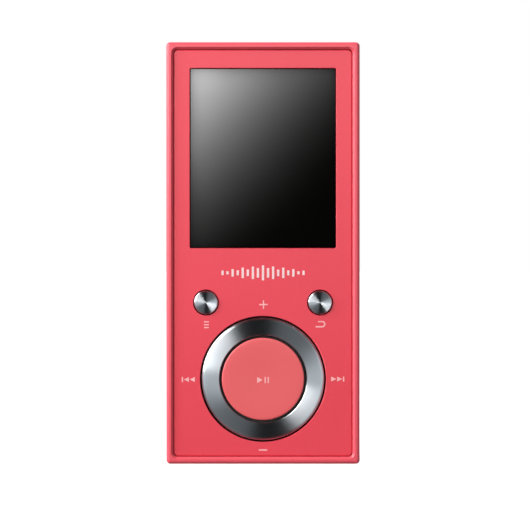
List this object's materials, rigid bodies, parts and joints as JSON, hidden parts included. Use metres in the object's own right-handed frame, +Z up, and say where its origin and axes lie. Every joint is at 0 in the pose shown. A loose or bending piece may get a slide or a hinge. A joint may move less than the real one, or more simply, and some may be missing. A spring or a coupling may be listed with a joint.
{
  "type": "digital audio player",
  "caption": "Slim upright pocket music player with a screen window, a turned metal navigation ring around a round centre button, and small round buttons above it.",
  "frame": {"origin": "middle of the lower end, on which the player stands", "axes": "+Z up the long side towards the upper end, +X to the right seen from the front, and the screen and keys face -Y"},
  "size_m": [0.039, 0.009, 0.085],
  "materials": {
    "casing_gloss": "satin gloss lacquer, salmon pink",
    "panel_gloss": "satin gloss lacquer, salmon pink",
    "button_gloss": "satin gloss lacquer, light salmon pink",
    "back_satin": "fine satin, salmon pink",
    "slider_plastic": "silver lacquer",
    "screw_steel": "blackened steel",
    "adhesive": "black double-sided tape",
    "window_glass": "black-backed gloss",
    "panel_glass": "unlit display",
    "gasket_rubber": "black foam rubber",
    "pressed_steel": "bright pressed sheet",
    "dome_steel": "bright spring steel",
    "light_guide": "clear acrylic",
    "ribbon_film": "amber polyimide",
    "connector_plastic": "black moulded plastic",
    "carrier_plastic": "dark moulded plastic",
    "turned_aluminium": "turned with circular grain",
    "board_laminate": "green solder mask on glass-fibre laminate",
    "contact_brass": "gold plated",
    "chip_epoxy": "black epoxy",
    "inductor_ferrite": "grey ferrite",
    "passive_ceramic": "tan ceramic",
    "chassis_aluminium": "plain sheet",
    "battery_foil": "foil pouch",
    "lead_red": "insulated wire",
    "lead_black": "insulated wire"
  },
  "bodies": {
    "housing": {"side_frame": "casing_gloss", "back_cover": "back_satin", "case_screws": "screw_steel", "front_panel": "panel_gloss", "panel_adhesive": "adhesive", "display_window": "window_glass", "window_adhesive": "adhesive", "display_gasket": "gasket_rubber", "display_bezel": "pressed_steel", "display_glass": "panel_glass", "display_backlight": "light_guide", "display_ribbon": "ribbon_film", "display_connector": "connector_plastic", "volume_domes": "dome_steel", "track_domes": "dome_steel", "select_dome": "dome_steel", "menu_dome": "dome_steel", "return_dome": "dome_steel", "main_board": "board_laminate", "headphone_jack": "connector_plastic", "jack_contacts": "contact_brass", "charging_port_shell": "pressed_steel", "charging_port_tongue": "connector_plastic", "card_socket_base": "connector_plastic", "card_socket_shell": "pressed_steel", "power_switch_body": "pressed_steel", "audio_processor": "chip_epoxy", "flash_memory": "chip_epoxy", "board_crystal": "pressed_steel", "charge_controller": "chip_epoxy", "power_inductor": "inductor_ferrite", "board_passives": "passive_ceramic", "board_screws": "screw_steel", "inner_chassis": "chassis_aluminium", "battery_adhesive": "adhesive", "battery_cell": "battery_foil", "battery_protection_board": "board_laminate", "battery_lead_red": "lead_red", "battery_lead_black": "lead_black"},
    "ring_gimbal": {"nav_ring_gimbal": "pressed_steel"},
    "nav_ring": {"nav_ring_cap": "turned_aluminium", "nav_ring_carrier": "carrier_plastic"},
    "select_button": {"select_button": "button_gloss"},
    "menu_button": {"menu_button_cap": "turned_aluminium", "menu_button_stem": "carrier_plastic"},
    "return_button": {"return_button_cap": "turned_aluminium", "return_button_stem": "carrier_plastic"},
    "power_slider": {"power_slider": "slider_plastic", "power_switch_lever": "connector_plastic"}
  },
  "joints": [
    {"name": "ring_tilt_updown", "type": "hinge", "parent": "housing", "child": "ring_gimbal", "pos_m": [0, -0.001, 0.0171], "axis": [1, 0, 0], "range_deg": [-1.7, 1.7], "stiffness_Nm_per_rad": 0.42, "deforming": ["volume_domes"]},
    {"name": "ring_tilt_sides", "type": "hinge", "parent": "ring_gimbal", "child": "nav_ring", "pos_m": [0, -0.001, 0.0171], "axis": [0, 0, 1], "range_deg": [-1.7, 1.7], "stiffness_Nm_per_rad": 0.42, "deforming": ["track_domes"]},
    {"name": "select_press", "type": "slide", "parent": "housing", "child": "select_button", "axis": [0, 1, 0], "range_m": [0, 0.00024], "stiffness_N_per_m": 3000, "deforming": ["select_dome"]},
    {"name": "menu_press", "type": "slide", "parent": "housing", "child": "menu_button", "axis": [0, 1, 0], "range_m": [0, 0.00024], "stiffness_N_per_m": 3000, "deforming": ["menu_dome"]},
    {"name": "return_press", "type": "slide", "parent": "housing", "child": "return_button", "axis": [0, 1, 0], "range_m": [0, 0.00024], "stiffness_N_per_m": 3000, "deforming": ["return_dome"]},
    {"name": "power_slide", "type": "slide", "parent": "housing", "child": "power_slider", "axis": [0, 0, 1], "range_m": [0, 0.002]}
  ]
}
